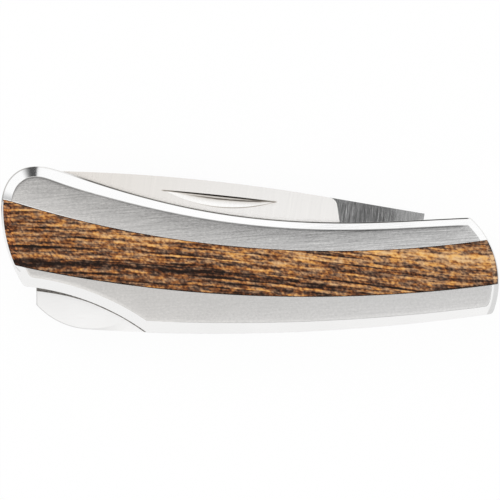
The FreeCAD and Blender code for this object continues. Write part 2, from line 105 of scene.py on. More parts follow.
# %% [markdown]
# The slot edge sweeps through measured places, and the hump turns a corner in one swing. The first is a
# spline whose bend is continuous and the second a Bezier curve. A break in the bend that no eye finds
# in an outline would still show as a break in the light on a polished bevel.

# %% Smooth curves
def bezier(poles):
    """A cubic Bezier curve: the poles weighted by the four Bernstein terms of the share."""
    def run(share):
        t = share[:, None]
        return ((1 - t)**3 * poles[0] + 3 * t * (1 - t)**2 * poles[1]
                + 3 * t**2 * (1 - t) * poles[2] + t**3 * poles[3])
    return run


def spline_slopes(points, first, last):
    """Slopes at the points of a cubic whose bend is continuous, with its two end slopes given."""
    chord = np.linalg.norm(np.diff(points, axis=0), axis=1)
    rise = np.diff(points, axis=0) / chord[:, None]
    inner = np.arange(1, len(points) - 1)
    system = np.eye(len(points))
    system[inner, inner - 1] = chord[inner]
    system[inner, inner] = 2 * (chord[inner - 1] + chord[inner])
    system[inner, inner + 1] = chord[inner - 1]
    known = np.zeros_like(points)
    known[0], known[-1] = first, last
    known[inner] = 3 * (chord[inner, None] * rise[inner - 1] + chord[inner - 1, None] * rise[inner])
    return chord, np.linalg.solve(system, known)


def spline(points, first, last):
    """A smooth run through the points: Hermite cubics on the chord lengths."""
    chord, slopes = spline_slopes(points, first, last)
    knots = np.concatenate([[0.0], np.cumsum(chord)])

    def run(share):
        place = share * knots[-1]
        k = np.clip(np.searchsorted(knots, place, side="right") - 1, 0, len(chord) - 1)
        w = ((place - knots[k]) / chord[k])[:, None]
        span = chord[k][:, None]
        return ((1 + 2 * w) * (1 - w)**2 * points[k] + w * (1 - w)**2 * span * slopes[k]
                + w**2 * (3 - 2 * w) * points[k + 1] - w**2 * (1 - w) * span * slopes[k + 1])
    return run


level_row = np.array([(0.0, 0.0), (1.0, 0.0), (3.0, 0.0)])
print("the middle of a spline along a row:", spline(level_row, (1.0, 0.0), (1.0, 0.0))(np.array([0.5])))

# %% [markdown]
# Sizes are in millimetres from the butt and from the back's lowest place. The bevel's width differs
# from edge to edge, because a grinder takes more off where the plate is fuller.

# %% Sizes of the outline
FORWARD = np.array([1.0, 0.0])
NOSE_CENTRE = np.array([71.15, 9.04])
NOSE_RADIUS = 14.85
NOSE_TOP = 20.07
NOSE_HALF_CHORD = math.sqrt(NOSE_RADIUS**2 - (NOSE_TOP - NOSE_CENTRE[1])**2)
NOSE_CORNER = np.array([NOSE_CENTRE[0] + NOSE_HALF_CHORD, NOSE_TOP])
NOSE_ROUND = 0.9
NOSE_BEVEL = 1.33
BACK_CENTRE = np.array([36.6, 339.0])
BACK_RADIUS = 339.0
BACK_BEVEL = 1.97
BACK_BEVEL_SHIFT = 3.6
BUTT_CENTRE = np.array([25.0, 21.7])
BUTT_RADIUS = 25.0
BUTT_ROUND = 1.2
BUTT_BEVEL = 1.90
CREST = np.array([6.1, 28.95])
HUMP_FULLNESS = 0.61
CRESCENT_RADIUS = 43.0
CRESCENT_REACH = 25.25
CRESCENT_LIP = np.array([5.0, 8.1])
CRESCENT_BEVEL = 1.70
BACK_AT_REACH = BACK_RADIUS - math.sqrt(BACK_RADIUS**2 - (BACK_CENTRE[0] - CRESCENT_REACH)**2)
CRESCENT_START = np.array([CRESCENT_REACH, BACK_AT_REACH])
CRESCENT_CENTRE = meet(CRESCENT_START, CRESCENT_RADIUS, CRESCENT_LIP, CRESCENT_RADIUS, 1)
SLOT_EDGE = np.array([CREST, (10.3, 28.17), (17.2, 25.92), (34.5, 21.43), (60.4, 19.24), NOSE_CORNER])
SLOT_BEVEL = np.array([1.82, 2.05, 1.95, 1.42, 1.28, 1.28])
print("nose corner", NOSE_CORNER.round(2), "crescent centre", CRESCENT_CENTRE.round(2))

# %% [markdown]
# ## Wall and flat
# The eight edges are drawn twice: once for the wall, and once for the flat inside the bevel. So each
# place on the wall has its partner on the flat, and the bevel is ruled straight between the two, as a
# flat wheel leaves it. An offset curve would need trimming at every corner.

# %% The eight edges
def flat_slot(crest, nose, last):
    """The slot edge's points moved in, square to the edge; the last one slides on to the flat's nose."""
    slopes = unit(spline_slopes(SLOT_EDGE, FORWARD, last)[1])
    slot = SLOT_EDGE + SLOT_BEVEL[:, None] * np.stack([slopes[:, 1], -slopes[:, 0]], axis=1)
    slot[0] = crest
    toward = slot[-1] - NOSE_CENTRE
    slot[-1] += last * (math.sqrt((toward @ last)**2 - toward @ toward + nose**2) - toward @ last)
    return slot


def side_edges(inset):
    """The wall's eight edges (inset 0) or the flat's, inside the bevel (inset 1)."""
    nose = NOSE_RADIUS - NOSE_BEVEL * inset
    back = BACK_RADIUS - BACK_BEVEL * inset
    back_centre = BACK_CENTRE + FORWARD * BACK_BEVEL_SHIFT * inset
    butt = BUTT_RADIUS - BUTT_BEVEL * inset
    crescent = CRESCENT_RADIUS + CRESCENT_BEVEL * inset
    crest = CREST - np.array([0.0, SLOT_BEVEL[0] * inset])
    apex = np.array([BUTT_BEVEL * inset, BUTT_CENTRE[1]])
    last = unit(SLOT_EDGE[-1] - SLOT_EDGE[-2])
    slot = flat_slot(crest, nose, last) if inset else SLOT_EDGE
    nose_round = meet(NOSE_CENTRE, nose - NOSE_ROUND, back_centre, back - NOSE_ROUND, -1)
    nose_end = NOSE_CENTRE + unit(nose_round - NOSE_CENTRE) * nose
    back_start = back_centre + unit(nose_round - back_centre) * back
    back_end = meet(back_centre, back, CRESCENT_CENTRE, crescent, 1)
    butt_round = meet(BUTT_CENTRE, butt - BUTT_ROUND, CRESCENT_CENTRE, crescent + BUTT_ROUND, -1)
    crescent_end = CRESCENT_CENTRE + unit(butt_round - CRESCENT_CENTRE) * crescent
    butt_start = BUTT_CENTRE + unit(butt_round - BUTT_CENTRE) * butt
    lift = crest - apex
    return [
        spline(slot, FORWARD, last),
        arc(slot[-1], nose_end, NOSE_CENTRE),
        arc(nose_end, back_start, nose_round),
        arc(back_start, back_end, back_centre),
        arc(back_end, crescent_end, CRESCENT_CENTRE),
        arc(crescent_end, butt_start, butt_round),
        arc(butt_start, apex, BUTT_CENTRE),
        bezier([apex, apex + lift * (0.0, HUMP_FULLNESS), crest - lift * (HUMP_FULLNESS, 0.0), crest]),
    ]


WALL_EDGES, FLAT_EDGES = side_edges(0), side_edges(1)


def along(edges, place):
    """Points at places along an outline: the whole part picks the edge, the rest is the share of it."""
    place = np.mod(place, len(edges))
    which = place.astype(int)
    points = np.zeros((len(place), 2))
    for number, edge in enumerate(edges):
        points[which == number] = edge(place[which == number] - number)
    return points


def on_bevel(place, share):
    """Points on the ruled bevel: share 0 on the wall's outline, 1 on the flat's, straight between."""
    wall = along(WALL_EDGES, place)
    return wall + (along(FLAT_EDGES, place) - wall) * np.reshape(share, (-1, 1))


edge_middles = np.arange(len(WALL_EDGES)) + 0.5
bevel_widths = np.linalg.norm(along(FLAT_EDGES, edge_middles) - along(WALL_EDGES, edge_middles), axis=1)
print("bevel's width at the middle of each edge:", bevel_widths.round(2))

# %% [markdown]
# ## Sewing grids into a piece
# Each piece is a few grids of points that share their borders. They are laid side by side in one
# mesh, the points on shared borders are merged, and the faces are turned outwards. Grids keep the rows
# where the light needs them, which a cut and rounded solid would not.

# %% Grids to a mesh
MERGE_REACH = 0.0008 * MM
SLIVER_LENGTH = 0.0004 * MM


def grid_faces(rows, columns, first):
    """Corner numbers of a grid's quads: each point with its neighbours across and along."""
    corner = first + np.arange(rows * columns).reshape(rows, columns)
    quads = [corner[:-1, :-1], corner[1:, :-1], corner[1:, 1:], corner[:-1, 1:]]
    return np.stack(quads, -1).reshape(-1, 4)


def sewn(name, grids, body, node, inboard=None):
    """One closed piece from grids in mm, from the butt and the back; it stands for a CAD node.

    Where a value for each point is given, the mesh keeps it for the finish to read. A piece without a
    body is attached to none.
    """
    points = np.concatenate([grid.reshape(-1, 3) for grid in grids])
    points = (points - (HALF_LENGTH, HALF_DEPTH, 0.0)) * MM
    firsts = np.cumsum([0] + [grid.shape[0] * grid.shape[1] for grid in grids])
    faces = np.concatenate([grid_faces(*grid.shape[:2], first) for grid, first in zip(grids, firsts)])
    mesh = bpy.data.meshes.new(name)
    mesh.from_pydata(points.tolist(), [], faces.tolist())
    if inboard is not None:
        layer = mesh.attributes.new("inboard", "FLOAT", "POINT")
        layer.data.foreach_set("value", np.concatenate([values.ravel() for values in inboard]))
    work = bmesh.new()
    work.from_mesh(mesh)
    bmesh.ops.remove_doubles(work, verts=work.verts, dist=MERGE_REACH)
    bmesh.ops.dissolve_degenerate(work, edges=work.edges, dist=SLIVER_LENGTH)
    bmesh.ops.recalc_face_normals(work, faces=work.faces)
    open_edges = sum(len(edge.link_faces) != 2 for edge in work.edges)
    work.to_mesh(mesh)
    work.free()
    mesh.shade_smooth()
    piece = bpy.data.objects.new(name, mesh)
    bpy.context.scene.collection.objects.link(piece)
    if body:
        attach(piece, body)
    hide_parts(node)
    print(name, "faces", len(mesh.polygons), "open edges", open_edges)
    return piece


print("a grid of 3 by 4 points has", len(grid_faces(3, 4, 0)), "faces")

# %% [markdown]
# No edge of a real piece is sharp: it is broken with a stone or by years in a pocket. A section's
# corners are therefore rounded, with a guard row on either side that keeps the flats flat under smooth
# shading. A bevel modifier would do it too, but not with a size for each edge.

# %% Rounded sections
ROUND_STEPS = (0.0, 0.25, 0.5, 0.75, 1.0)
ROUND_LIMIT = 0.3
GUARD = 1.5
TINY = 1e-6


def lifted(points, height):
    """Plan points with a height, one for all or one for each."""
    return np.column_stack([points, np.broadcast_to(height, len(points))])


def rounded(corners, radii):
    """A section of corners, its inner ones rounded by a parabola: corner + r((1-t)^2 back + t^2 ahead)."""
    rows = [corners[0]]
    for before, corner, after, radius in zip(corners, corners[1:], corners[2:], radii):
        back, ahead = before - corner, after - corner
        back_length, ahead_length = np.linalg.norm(back, axis=1), np.linalg.norm(ahead, axis=1)
        size = np.minimum(radius, ROUND_LIMIT * np.minimum(back_length, ahead_length))[:, None]
        back = size * back / np.maximum(back_length, TINY)[:, None]
        ahead = size * ahead / np.maximum(ahead_length, TINY)[:, None]
        rows.append(corner + back * GUARD)
        rows += [corner + (1 - t)**2 * back + t**2 * ahead for t in ROUND_STEPS]
        rows.append(corner + ahead * GUARD)
    return np.stack(rows + [corners[-1]], axis=1)


print("a rounded corner takes", len(ROUND_STEPS) + 2, "rows")

# %% [markdown]
# ## Steel sides
# A side is a plate with a bevel all round and a channel for the wood from end to end, milled along two
# arcs. At the ends the channel runs out through the bevel, so the place where an arc meets it changes
# with the height. It is looked up on a fine row of places, which is simpler than solving for it.

# %% Channel
FRONT_FACE = THICKNESS
BEVEL_HEIGHT = THICKNESS - 1.5
CHANNEL_FLOOR = THICKNESS - 1.3
INSIDE_FACE = 6.14
# Each arc: x and y of its lowest place, and its radius.
CHANNEL_TOP = np.array([57.5, 14.33, 185.0])
CHANNEL_BOTTOM = np.array([53.3, 6.40, 240.0])
FLOOR_SHARE = (CHANNEL_FLOOR - BEVEL_HEIGHT) / (FRONT_FACE - BEVEL_HEIGHT)
# Places along the outline between which the channel comes out at each end.
BUTT_SPAN, NOSE_SPAN = (6, 8), (1, 2)
SEARCH_STEPS = 4001


def channel_y(x, arc_sizes):
    """Height of a channel arc over x: its lowest point plus the circle's rise."""
    low_x, low_y, radius = arc_sizes
    return low_y + radius - np.sqrt(radius**2 - (x - low_x)**2)


def crossing(share, first, last, arc_sizes):
    """The place, between two others, where the bevel's line of one share crosses a channel arc."""
    place = np.linspace(first, last, SEARCH_STEPS)
    points = on_bevel(place, share)
    above = points[:, 1] - channel_y(points[:, 0], arc_sizes)
    order = np.argsort(above)
    return np.interp(0.0, above[order], place[order])


def bevel_level(share):
    """Height of the bevel's line of one share."""
    return BEVEL_HEIGHT + (FRONT_FACE - BEVEL_HEIGHT) * share


for span in (BUTT_SPAN, NOSE_SPAN):
    print("upper arc leaves the flat at place", crossing(1.0, *span, CHANNEL_TOP).round(3))

# %% [markdown]
# Above and below the channel the plate is a rail, and a rail can be drawn as one section that is carried
# along the outline: inside face, wall, bevel, flat, channel wall. Each arris is broken by about a tenth
# of a millimetre, which is what catches a line of light on real steel.

# %% Rails
END_SHARES = np.array([FLOOR_SHARE, 0.3, 0.5, 0.7, 0.85, 0.95, 1.0])
RAIL_ROUNDS = (0.05, 0.14, 0.09, 0.06)
INSIDE_SHARE = 0.6
CREASE_ROW = 18  # rows before this one lie on the bevel's side of the crease
STATIONS = 236
NEAR = 0.003  # stations are closest this near to a corner, as a share of an edge


def rail(arc_sizes, middle_places):
    """A rail's rounded section at each station; at both ends it runs out along the bevel.

    The second result is how far each point lies inside the crease between bevel and flat, in plan.
    """
    butt = [crossing(share, *BUTT_SPAN, arc_sizes) for share in END_SHARES]
    nose = [crossing(share, *NOSE_SPAN, arc_sizes) for share in END_SHARES[::-1]]
    middle = middle_places(butt[-1], nose[0])
    place = np.concatenate([butt, middle, nose])
    share = np.concatenate([END_SHARES, np.ones(len(middle)), END_SHARES[::-1]])
    wall, edge = along(WALL_EDGES, place), on_bevel(place, share)
    edge_height = bevel_level(share)
    lip_x = np.maximum.accumulate(edge[:, 0])
    lip = np.column_stack([lip_x, channel_y(lip_x, arc_sizes)])
    corners = [
        lifted(on_bevel(place, INSIDE_SHARE), INSIDE_FACE),
        lifted(wall, INSIDE_FACE),
        lifted(wall, BEVEL_HEIGHT),
        lifted(edge, edge_height),
        lifted(lip, edge_height),
        lifted(lip, np.minimum(edge_height, CHANNEL_FLOOR)),
    ]
    grid = rounded(corners, RAIL_ROUNDS)
    inboard = np.linalg.norm(grid[..., :2] - edge[:, None], axis=-1)
    inboard[:, :CREASE_ROW] *= -1
    return grid, inboard


def spread(*runs):
    """Places in runs: each run is (start, end, count), its end left to the next run."""
    return np.concatenate([np.linspace(start, end, count, endpoint=False) for start, end, count in runs])


def stations(end, *runs):
    """All the stations: the runs, then from the last run's end to the given end with the count left."""
    used = sum(count for _, _, count in runs)
    return spread(*runs, (runs[-1][1], end, STATIONS + 1 - used))[1:]


def upper_places(start, end):
    """From the butt over the hump (to 8), along the slot (to 9) and down the nose, close at its corner."""
    return stations(8 + end, (start, 8, 61), (8, 9 - NEAR, 120), (9 - NEAR, 9 + NEAR, 4))


def lower_places(start, end):
    """From the butt, round (5), crescent (4), back (3) and round (2) to the nose, close at 4's corner."""
    return stations(end, (start, 6, 13), (6, 5, 14), (5, 4 + NEAR, 60), (4 + NEAR, 4 - NEAR / 4, 4),
                    (4 - NEAR / 4, 3, 100), (3, 2, 14))


upper_rail, upper_inboard = rail(CHANNEL_TOP, upper_places)
lower_rail, lower_inboard = rail(CHANNEL_BOTTOM, lower_places)
print("rails: stations by rows", upper_rail.shape[:2], lower_rail.shape[:2])

# %% [markdown]
# The rest of a side is plain: the channel's floor, the inside face and two end walls, each stretched
# between rows that the rails already have. The rear side is the front one turned over.

# %% Sides
END_COLUMNS = 9
OFF_THE_FLAT = -3.0


def band_end(span, share, height):
    """The bevel's line of one share across the channel's end, from the lower arc to the upper."""
    ends = [crossing(FLOOR_SHARE, *span, arc_sizes) for arc_sizes in (CHANNEL_BOTTOM, CHANNEL_TOP)]
    return lifted(on_bevel(np.linspace(*ends, END_COLUMNS), share), height)


def plain_grids():
    """The inside, the channel's floor and the end walls of the front side."""
    weight = np.linspace(0.0, 1.0, END_COLUMNS)[None, :, None]
    inside = lower_rail[:, :1] * (1 - weight) + upper_rail[:, :1] * weight
    floor = lower_rail[:, -1:] * (1 - weight) + upper_rail[:, -1:] * weight
    section = ((INSIDE_SHARE, INSIDE_FACE), (0.0, INSIDE_FACE), (0.0, BEVEL_HEIGHT),
               (FLOOR_SHARE, CHANNEL_FLOOR))
    walls = []
    for row, span in ((0, BUTT_SPAN), (-1, NOSE_SPAN)):
        wall = [band_end(span, share, height) for share, height in section]
        inside[row], floor[row] = wall[0], wall[-1]
        walls.append(rounded(wall, RAIL_ROUNDS))
    return [inside, floor] + walls


def turned_over(grids):
    """The other side of the knife: the same grids with their heights counted down from the top."""
    return [grid * (1, 1, -1) + (0, 0, THICKNESS) for grid in grids]


plain = plain_grids()
side_grids = [upper_rail, lower_rail] + plain
side_inboard = [upper_inboard, lower_inboard] + [np.full(grid.shape[:2], OFF_THE_FLAT) for grid in plain]
front_side = sewn("front_side", side_grids, "handle", "front_frame", side_inboard)
rear_side = sewn("rear_side", turned_over(side_grids), "handle", "rear_frame", side_inboard)

# %% [markdown]
# ## Wood bands
# The wood fills the channel and is sanded with the steel, so its ends carry the bevel on. It is one
# grid: across it the columns crowd towards the two long edges, which are softly rounded, and along it
# the first and last rows climb the bevel.

# %% Wood shape
WOOD_FACE = FRONT_FACE - 0.05
WOOD_GAP = 0.035
WOOD_ROUND = 0.16
WOOD_TOP = CHANNEL_TOP - (0.0, WOOD_GAP, 0.0)
WOOD_BOTTOM = CHANNEL_BOTTOM + (0.0, WOOD_GAP, 0.0)
BUTT_SETBACK = 0.15
EDGE_COLUMNS = np.array([0.0, 0.002, 0.006, 0.012, 0.02, 0.03])
WOOD_COLUMNS = np.concatenate([EDGE_COLUMNS, np.linspace(0.05, 0.95, 19), 1.0 - EDGE_COLUMNS[::-1]])
CLIMB = np.concatenate([np.linspace(0.0, 0.9, 9, endpoint=False), [0.90, 0.93, 0.96, 1.0]])
WOOD_ROWS = np.concatenate([[0.0006, 0.0012, 0.0020], np.linspace(0.01, 0.99, 90), [0.998, 0.9988, 0.9994]])


def wood_end(span, setback):
    """Rows that climb one end's bevel, from the channel floor to the face, each from arc to arc."""
    top_share = (WOOD_FACE - BEVEL_HEIGHT) / (FRONT_FACE - BEVEL_HEIGHT)
    rows = []
    for share in FLOOR_SHARE + (top_share - FLOOR_SHARE) * CLIMB:
        ends = [crossing(share, *span, arc_sizes) for arc_sizes in (WOOD_BOTTOM, WOOD_TOP)]
        place = ends[0] + (ends[1] - ends[0]) * WOOD_COLUMNS
        rows.append(lifted(on_bevel(place, share) + (setback, 0.0), bevel_level(share)))
    return np.stack(rows)


def between_arcs(points):
    """The share of the way from the lower arc to the upper."""
    low = channel_y(points[..., 0], WOOD_BOTTOM)
    return (points[..., 1] - low) / (channel_y(points[..., 0], WOOD_TOP) - low)


def wood_grids():
    """Top, two long walls and underside of the front band; the long edges drop along a quarter circle."""
    butt, nose = wood_end(BUTT_SPAN, BUTT_SETBACK), wood_end(NOSE_SPAN, 0.0)[::-1]
    left, right, step = butt[-1], nose[0], WOOD_ROWS[:, None]
    x = left[:, 0] * (1 - step) + right[:, 0] * step
    weight = between_arcs(left) * (1 - step) + between_arcs(right) * step
    low, high = channel_y(x, WOOD_BOTTOM), channel_y(x, WOOD_TOP)
    middle = np.stack([x, low + weight * (high - low), np.full_like(x, WOOD_FACE)], axis=-1)
    top = np.concatenate([butt, middle, nose])
    low, high = channel_y(top[..., 0], WOOD_BOTTOM), channel_y(top[..., 0], WOOD_TOP)
    depth = np.clip(np.minimum(top[..., 1] - low, high - top[..., 1]), 0.0, WOOD_ROUND)
    drop = WOOD_ROUND - np.sqrt(WOOD_ROUND**2 - (WOOD_ROUND - depth)**2)
    under = top * (1, 1, 0) + (0, 0, CHANNEL_FLOOR)
    top[..., 2] -= drop * (top[..., 2] - CHANNEL_FLOOR) / (WOOD_FACE - CHANNEL_FLOOR)
    walls = [np.stack([top[:, side], under[:, side]], axis=1) for side in (0, -1)]
    return [top, under] + walls


band_grids = wood_grids()
front_band = sewn("front_band", band_grids, "handle", "front_inlay")
rear_band = sewn("rear_band", turned_over(band_grids), "handle", "rear_inlay")

# %% [markdown]
# ## Lock bar
# The lock bar lies inside the back, from its hook near the nose to the tail in the crescent, where a
# thumb presses it. It is a section carried along X between two lines: the outer one follows the tail's
# round and the back, the inner one swells over the rocker pin and steps up at the hook. The blade keeps
# its CAD shape, whose ground faces and nail nick are already exact.

# %% Bar lines
ROCKER = np.array([43.95, 3.90])
LOBE_RADIUS = 2.9
BAR_BACK = BACK_RADIUS - 0.02
BAR_INNER = 4.996
TAIL_END = np.array([5.96, 4.95])
TAIL_RADIUS = 13.0
TAIL_CENTRE = meet(BACK_CENTRE, BAR_BACK - TAIL_RADIUS, TAIL_END, TAIL_RADIUS, 1)
COVER_RADIUS = CRESCENT_RADIUS + 1.5
COVER_END = 40.0
HOOK_BACK, HOOK_FRONT, HOOK_TOP = 78.25, 80.66, 6.33


def circle_y(x, centre, radius, side):
    """The upper (side 1) or lower (side -1) height of a circle over x, level with its centre outside it."""
    return centre[1] + side * np.sqrt(np.maximum(radius**2 - (x - centre[0])**2, 0.0))


def bar_outer(x):
    """The back's circle, or the tail's where that is higher, to the left of the tail's lowest place."""
    tail = np.where(x < TAIL_CENTRE[0], circle_y(x, TAIL_CENTRE, TAIL_RADIUS, -1), 0.0)
    return np.maximum(circle_y(x, BACK_CENTRE, BAR_BACK, -1), tail)


def bar_inner(x):
    """The highest of the cover behind the crescent, the straight bar, the rocker's lobe and the hook."""
    cover = np.where(x < COVER_END, circle_y(x, CRESCENT_CENTRE, COVER_RADIUS, 1), 0.0)
    lobe = np.where(abs(x - ROCKER[0]) < LOBE_RADIUS, circle_y(x, ROCKER, LOBE_RADIUS, 1), 0.0)
    hook = np.where(x > HOOK_BACK, HOOK_TOP, 0.0)
    return np.maximum(np.maximum(cover, BAR_INNER), np.maximum(lobe, hook))


print("bar's depth over the rocker pin:", (bar_inner(ROCKER[:1]) - bar_outer(ROCKER[:1])).round(2))

# %% [markdown]
# The bar is cut from flat stock and its edges are broken all round. Its stations are close together at
# the tail and over the lobe, where the lines bend, and the last ones at both ends draw the section in.

# %% Bar
BAR_FACES = (3.66, 6.08)
BAR_ROUND = 0.13
BAR_ENDS = np.array([0.0, 0.15, 0.5, 1.0]) * BAR_ROUND
BAR_RUNS = ((TAIL_END[0] + 0.2, 26, 90), (26, 40, 20), (40, 48, 40), (48, HOOK_BACK, 30),
            (HOOK_BACK, HOOK_FRONT - 0.2, 8))
HOOK_STEP = 0.002  # a station this close past the hook's back keeps its step upright


def boxed(outer, inner, low, high):
    """A square section with rounded edges along two plan lines, from low to high, and its two end faces."""
    middle = lifted(outer, (low + high) / 2)
    corners = [lifted(line, z) for line, z in ((outer, high), (inner, high), (inner, low), (outer, low))]
    rings = rounded([middle] + corners + [middle], (BAR_ROUND,) * 4)
    half = (rings.shape[1] + 1) // 2
    caps = [np.stack([ring, ring[::-1]])[:, :half] for ring in (rings[0], rings[-1])]
    return [rings] + caps


def bar_grids():
    """The bar's section at each x, drawn in along a quarter circle at both ends."""
    x = np.sort(np.concatenate([TAIL_END[0] + BAR_ENDS, spread(*BAR_RUNS), [HOOK_BACK + HOOK_STEP],
                                HOOK_FRONT - BAR_ENDS]))
    inset = np.minimum(x - x[0], x[-1] - x)
    inset = BAR_ROUND - np.sqrt(BAR_ROUND**2 - np.maximum(BAR_ROUND - inset, 0.0)**2)
    outer, inner = np.column_stack([x, bar_outer(x) + inset]), np.column_stack([x, bar_inner(x) - inset])
    return boxed(outer, inner, BAR_FACES[0] + inset, BAR_FACES[1] - inset)


lock_piece = sewn("lock_bar_satin", bar_grids(), "lock_bar", "lock_bar")

# %% [markdown]
# ## Lock spring
# A strip of tempered steel is held in the spacer at the butt, slopes down and presses the bar with its
# curled toe. Its middle line is a straight, a bend, a slope and the toe's arc. When the bar rocks, the
# toe goes with it and the rest bends.

# %% Spring
STRIP_HALF = 0.45
STRIP_ANCHOR = np.array([9.3, 12.3])
BEND_START = np.array([14.4, 12.3])
BEND_RADIUS = 7.0
BEND_ROWS, TOE_ROWS = 17, 25
TOE_RADIUS = 4.0
TOE_GAP = 0.06
TOE_LOW = np.array([28.426, BAR_INNER + TOE_GAP + STRIP_HALF])
SLOPE = math.radians(32.0)
TOE_TURN = math.radians(50.0)


def strip_line():
    """The strip's middle line and its upward side; the turn goes from 0 to the slope and back up."""
    bend = -SLOPE * np.linspace(0.0, 1.0, BEND_ROWS)[:, None]
    toe = -SLOPE + TOE_TURN * np.linspace(0.0, 1.0, TOE_ROWS)[:, None]
    turn = np.concatenate([np.zeros((2, 1)), bend[1:], toe])
    up = np.hstack([-np.sin(turn), np.cos(turn)])
    bend_line = BEND_START - (0.0, BEND_RADIUS) + BEND_RADIUS * up[1:-TOE_ROWS]
    toe_line = TOE_LOW + (0.0, TOE_RADIUS) - TOE_RADIUS * up[-TOE_ROWS:]
    return np.concatenate([[STRIP_ANCHOR], bend_line, toe_line]), up


strip_middle, strip_up = strip_line()
spring_grids = boxed(strip_middle - strip_up * STRIP_HALF, strip_middle + strip_up * STRIP_HALF, *BAR_FACES)
spring_piece = sewn("lock_spring_strip", spring_grids, None, "lock_spring")
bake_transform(spring_piece)

# %% [markdown]
# ## Shader sums
# A finish is easier to read as a formula than as a web of nodes. This class wraps one socket, so that
# plus, minus, times and the rest each add a Math node, and any other node comes from one method.

# %% A socket that can be used in sums
class Sock:
    """A shader socket; each operator on it adds one Math node to its tree."""

    def __init__(self, tree, socket=None):
        self.tree = tree
        self.socket = socket

    def make(self, kind, settings=None, inlets=None, outlet=0):
        """Add any node: its settings first, then the value or link of each inlet."""
        node = self.tree.nodes.new("ShaderNode" + kind)
        for name, value in (settings or {}).items():
            if name == "stops":
                while len(node.color_ramp.elements) < len(value):
                    node.color_ramp.elements.new(0.5)
                for element, (place, colour) in zip(node.color_ramp.elements, value):
                    element.position = place
                    element.color = (*colour, 1)
            else:
                setattr(node, name, value)
        for name, value in (inlets or {}).items():
            inlet = node.inputs[name]
            if isinstance(value, Sock):
                self.tree.links.new(value.socket, inlet)
            else:
                inlet.default_value = value
        return Sock(self.tree, node.outputs[outlet])

    def math(self, operation, *values):
        """One Math node on the given values."""
        return self.make("Math", {"operation": operation}, dict(enumerate(values)))

    def __add__(self, other):
        return self.math("ADD", self, other)

    __radd__ = __add__

    def __mul__(self, other):
        return self.math("MULTIPLY", self, other)

    __rmul__ = __mul__

    def __sub__(self, other):
        return self.math("SUBTRACT", self, other)

    def __rsub__(self, other):
        return self.math("SUBTRACT", other, self)

    def __truediv__(self, other):
        return self.math("DIVIDE", self, other)

    def __pow__(self, other):
        return self.math("POWER", self, other)

    def __abs__(self):
        return self.math("ABSOLUTE", self)

    def smooth(self, low, high):
        """0 below low, 1 above high, and a smooth step between."""
        return self.make("MapRange", {"interpolation_type": "SMOOTHSTEP"},
                         {"Value": self, "From Min": low, "From Max": high})

    def ramp(self, *stops):
        """A colour from stops of (place, colour)."""
        return self.make("ValToRGB", {"stops": stops}, {"Fac": self})

    def noise(self, x, y, z, scale=1.0, detail=3.0, roughness=0.55):
        """Noise read at a place worked out with sums."""
        place = self.make("CombineXYZ", None, {"X": x, "Y": y, "Z": z})
        return self.make("TexNoise", None, {"Vector": place, "Scale": scale, "Detail": detail,
                                            "Roughness": roughness})


print("a socket's methods:", [name for name in vars(Sock) if not name.startswith("_")])

# %% [markdown]
# Every finish starts from one Principled shader and the place in millimetres, and every metal ends the
# same way: a grey that is a little warm, its roughness, and a relief that tilts the light. So the start
# and the end are helpers.

# %% Starting and ending a finish
GREEN_WARMTH = 0.46


def new_finish(name):
    """A material with one Principled shader; returns its tree wrapped, its shader and X, Y, Z in mm."""
    material = bpy.data.materials.new(name)
    material.use_nodes = True
    tree = material.node_tree
    shader = tree.nodes["Principled BSDF"]
    start = Sock(tree)
    coords = start.make("TexCoord", outlet="Object")
    parts = start.make("SeparateXYZ", None, {"Vector": coords})
    axes = [Sock(tree, out) * 1000.0 for out in parts.socket.node.outputs]
    return material, start, shader, axes


def feed(start, shader, **inlets):
    """Join values or links to the shader's inlets; underscores stand for spaces."""
    for name, value in inlets.items():
        inlet = shader.inputs[name.replace("_", " ")]
        if isinstance(value, Sock):
            start.tree.links.new(value.socket, inlet)
        else:
            inlet.default_value = value


def metal(start, shader, tone, warmth, rough, relief):
    """A metal from one tone, less in green and least in blue by its warmth, with a relief in mm."""
    colour = start.make("CombineColor", None, {"Red": tone, "Green": tone * (1 - warmth * GREEN_WARMTH),
                                               "Blue": tone * (1 - warmth)})
    bump = start.make("Bump", None, {"Strength": 1.0, "Distance": MM, "Height": relief})
    feed(start, shader, Base_Color=colour, Metallic=1.0, Roughness=rough, Normal=bump)


def inside_circle(x, y, centre, radius):
    """How far a place lies inside a circle of the drawing: radius minus distance from the centre."""
    from_x = x + (HALF_LENGTH - centre[0])
    from_y = y + (HALF_DEPTH - centre[1])
    return radius - (from_x * from_x + from_y * from_y) ** 0.5


def above_arc(x, y, arc_sizes):
    """How far a place lies above a channel arc, whose circle is centred a radius over its lowest place."""
    low_x, low_y, radius = arc_sizes
    return inside_circle(x, y, (low_x, low_y + radius), radius)


FINISHES = {}
